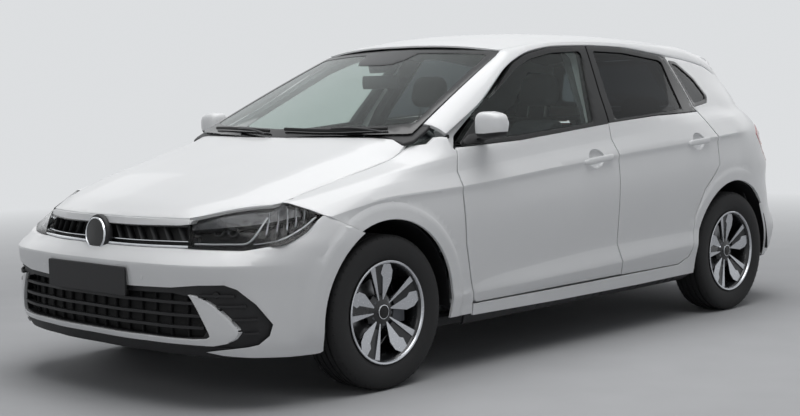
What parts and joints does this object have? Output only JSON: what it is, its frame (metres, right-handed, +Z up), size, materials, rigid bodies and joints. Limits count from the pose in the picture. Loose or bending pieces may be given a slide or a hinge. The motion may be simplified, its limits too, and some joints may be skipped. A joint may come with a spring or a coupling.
{
  "type": "five-door hatchback car",
  "caption": "Five-door hatchback car with steered front wheels, opening doors, bonnet and tailgate, glazed cabin with seats and a load space.",
  "frame": {"origin": "on the ground below the middle of the car's box", "axes": "+Z up, the car faces -Y, its left side is +X"},
  "size_m": [1.964, 4.0739, 1.4459],
  "materials": {
    "white_paint": "gloss white with clear coat",
    "underbody_paint": "satin dark grey",
    "black_plastic": "grained black",
    "clear_lens": "clear polycarbonate",
    "red_lens": "gloss red",
    "clear_glass": "faint green",
    "dark_glass": "dark privacy tint",
    "tyre_rubber": "matt",
    "alloy": "machined faces, gloss black recesses",
    "chassis_steel": "satin black",
    "cabin_plastic": "soft grained",
    "seat_fabric": "woven dark grey",
    "plate_blank": "satin black"
  },
  "bodies": {
    "body": {"floor_pan": "underbody_paint", "body_side_left": "white_paint", "body_side_right": "white_paint", "roof_panel": "white_paint", "engine_bay": "underbody_paint", "front_wings": "white_paint", "front_bumper": "white_paint", "front_grilles": "black_plastic", "headlamps": "clear_lens", "fixed_glass": "clear_glass", "rear_bumper": "white_paint", "tail_lamps": "red_lens", "wheel_arch_liners": "black_plastic", "front_subframe": "chassis_steel", "rear_axle": "chassis_steel", "engine_block": "chassis_steel", "dashboard": "cabin_plastic", "front_seats": "seat_fabric", "rear_bench": "seat_fabric", "exhaust_and_tank": "chassis_steel", "number_plates": "plate_blank"},
    "bonnet": {"bonnet": "white_paint"},
    "tailgate": {"tailgate": "white_paint", "tailgate_glass": "dark_glass"},
    "door_front_left": {"door_front_left": "white_paint", "glass_front_left": "clear_glass", "mirror_left": "white_paint"},
    "door_front_right": {"door_front_right": "white_paint", "glass_front_right": "clear_glass", "mirror_right": "white_paint"},
    "door_rear_left": {"door_rear_left": "white_paint", "glass_rear_left": "dark_glass"},
    "door_rear_right": {"door_rear_right": "white_paint", "glass_rear_right": "dark_glass"},
    "knuckle_left": {"knuckle_left": "chassis_steel"},
    "knuckle_right": {"knuckle_right": "chassis_steel"},
    "wheel_front_left": {"tyre_front_left": "tyre_rubber", "rim_front_left": "alloy"},
    "wheel_front_right": {"tyre_front_right": "tyre_rubber", "rim_front_right": "alloy"},
    "wheel_rear_left": {"tyre_rear_left": "tyre_rubber", "rim_rear_left": "alloy"},
    "wheel_rear_right": {"tyre_rear_right": "tyre_rubber", "rim_rear_right": "alloy"},
    "steering_wheel": {"steering_wheel": "cabin_plastic"}
  },
  "joints": [
    {"name": "bonnet_hinge", "type": "hinge", "parent": "body", "child": "bonnet", "pos_m": [0, -0.907, 0.992], "axis": [-1, 0, 0], "range_deg": [0, 50]},
    {"name": "tailgate_hinge", "type": "hinge", "parent": "body", "child": "tailgate", "pos_m": [0, 1.528, 1.37], "axis": [1, 0, 0], "range_deg": [0, 78]},
    {"name": "door_front_left_hinge", "type": "hinge", "parent": "body", "child": "door_front_left", "pos_m": [0.8755, -0.781, 0.6], "axis": [0, 0, -1], "range_deg": [0, 65]},
    {"name": "door_front_right_hinge", "type": "hinge", "parent": "body", "child": "door_front_right", "pos_m": [-0.8755, -0.781, 0.6], "axis": [0, 0, 1], "range_deg": [0, 65]},
    {"name": "door_rear_left_hinge", "type": "hinge", "parent": "body", "child": "door_rear_left", "pos_m": [0.8755, 0.313, 0.6], "axis": [0, 0, -1], "range_deg": [0, 68]},
    {"name": "door_rear_right_hinge", "type": "hinge", "parent": "body", "child": "door_rear_right", "pos_m": [-0.8755, 0.313, 0.6], "axis": [0, 0, 1], "range_deg": [0, 68]},
    {"name": "steer_left", "type": "hinge", "parent": "body", "child": "knuckle_left", "pos_m": [0.735, -1.212, 0.185], "axis": [-0.229, 0, 0.9734], "range_deg": [-35, 35]},
    {"name": "steer_right", "type": "hinge", "parent": "body", "child": "knuckle_right", "pos_m": [-0.735, -1.212, 0.185], "axis": [0.229, 0, 0.9734], "range_deg": [-35, 35]},
    {"name": "steering_wheel_turn", "type": "hinge", "parent": "body", "child": "steering_wheel", "pos_m": [0.365, -0.486, 0.836], "axis": [0, 0.9409, 0.3387], "range_deg": [-525, 525]},
    {"name": "spin_front_left", "type": "hinge", "parent": "knuckle_left", "child": "wheel_front_left", "pos_m": [0.7625, -1.212, 0.308], "axis": [1, 0, 0], "continuous": true},
    {"name": "spin_front_right", "type": "hinge", "parent": "knuckle_right", "child": "wheel_front_right", "pos_m": [-0.7625, -1.212, 0.308], "axis": [1, 0, 0], "continuous": true},
    {"name": "spin_rear_left", "type": "hinge", "parent": "body", "child": "wheel_rear_left", "pos_m": [0.7525, 1.34, 0.308], "axis": [1, 0, 0], "continuous": true},
    {"name": "spin_rear_right", "type": "hinge", "parent": "body", "child": "wheel_rear_right", "pos_m": [-0.7525, 1.34, 0.308], "axis": [1, 0, 0], "continuous": true}
  ],
  "couplings": [
    {"joint": "steer_right", "follows": "steer_left", "ratio": 1},
    {"joint": "steering_wheel_turn", "follows": "steer_left", "ratio": 15}
  ]
}
